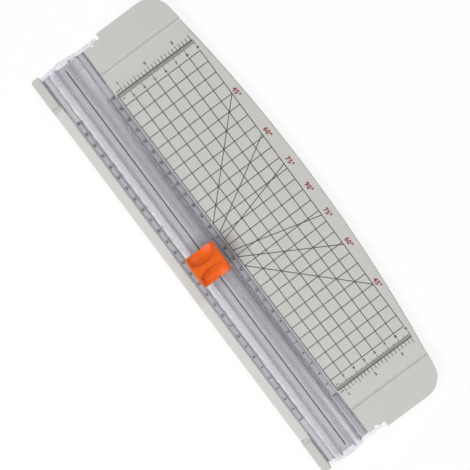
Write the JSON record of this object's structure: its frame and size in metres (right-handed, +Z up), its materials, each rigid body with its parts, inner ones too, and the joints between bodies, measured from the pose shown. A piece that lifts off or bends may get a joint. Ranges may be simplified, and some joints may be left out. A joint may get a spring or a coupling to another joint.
{
  "type": "paper cutter",
  "caption": "Sliding-blade paper trimmer: flat grey base with a bowed rear edge and raised paper guides, a hinged clear ruler rail, and a sprung orange slider that carries the blade.",
  "frame": {"origin": "on the table, under the middle of the whole object", "axes": "+X along the cut from the hinge end to the latch end, +Y across it towards the bowed rear edge, +Z up"},
  "size_m": [0.37, 0.1288, 0.028],
  "materials": {
    "base_plastic": "fine moulded texture, light warm grey",
    "strip_plastic": "plain dark strip",
    "foot_rubber": "matte black",
    "clear_plastic": "clear, polished",
    "orange_plastic": "satin moulded orange",
    "holder_plastic": "plain moulded black",
    "steel": "bright steel"
  },
  "bodies": {
    "base": {"base_shell": "base_plastic", "cutting_strip": "strip_plastic", "rubber_foot_1": "foot_rubber", "rubber_foot_2": "foot_rubber", "rubber_foot_3": "foot_rubber", "rubber_foot_4": "foot_rubber", "rubber_foot_5": "foot_rubber", "rubber_foot_6": "foot_rubber", "hinge_pins": "clear_plastic"},
    "rail": {"guide_rail": "clear_plastic", "rail_hinge_cap": "clear_plastic", "rail_latch_cap": "clear_plastic"},
    "slider": {"slider_shoe": "orange_plastic", "press_spring_left": "steel", "press_spring_right": "steel"},
    "press": {"press_cap": "orange_plastic", "holder_front": "holder_plastic", "holder_rear": "holder_plastic", "blade": "steel", "blade_rivets": "steel"}
  },
  "joints": [
    {"name": "rail_lift", "type": "hinge", "parent": "base", "child": "rail", "pos_m": [-0.1821, -0.03785, 0.0055], "axis": [0, -1, 0], "range_deg": [0, 75]},
    {"name": "slider_travel", "type": "slide", "parent": "rail", "child": "slider", "axis": [1, 0, 0], "range_m": [-0.1694, 0.1645]},
    {"name": "blade_press", "type": "slide", "parent": "slider", "child": "press", "axis": [0, 0, -1], "range_m": [0, 0.0022], "stiffness_N_per_m": 800, "springref_m": -0.002, "deforming": ["press_spring_left", "press_spring_right"]}
  ]
}
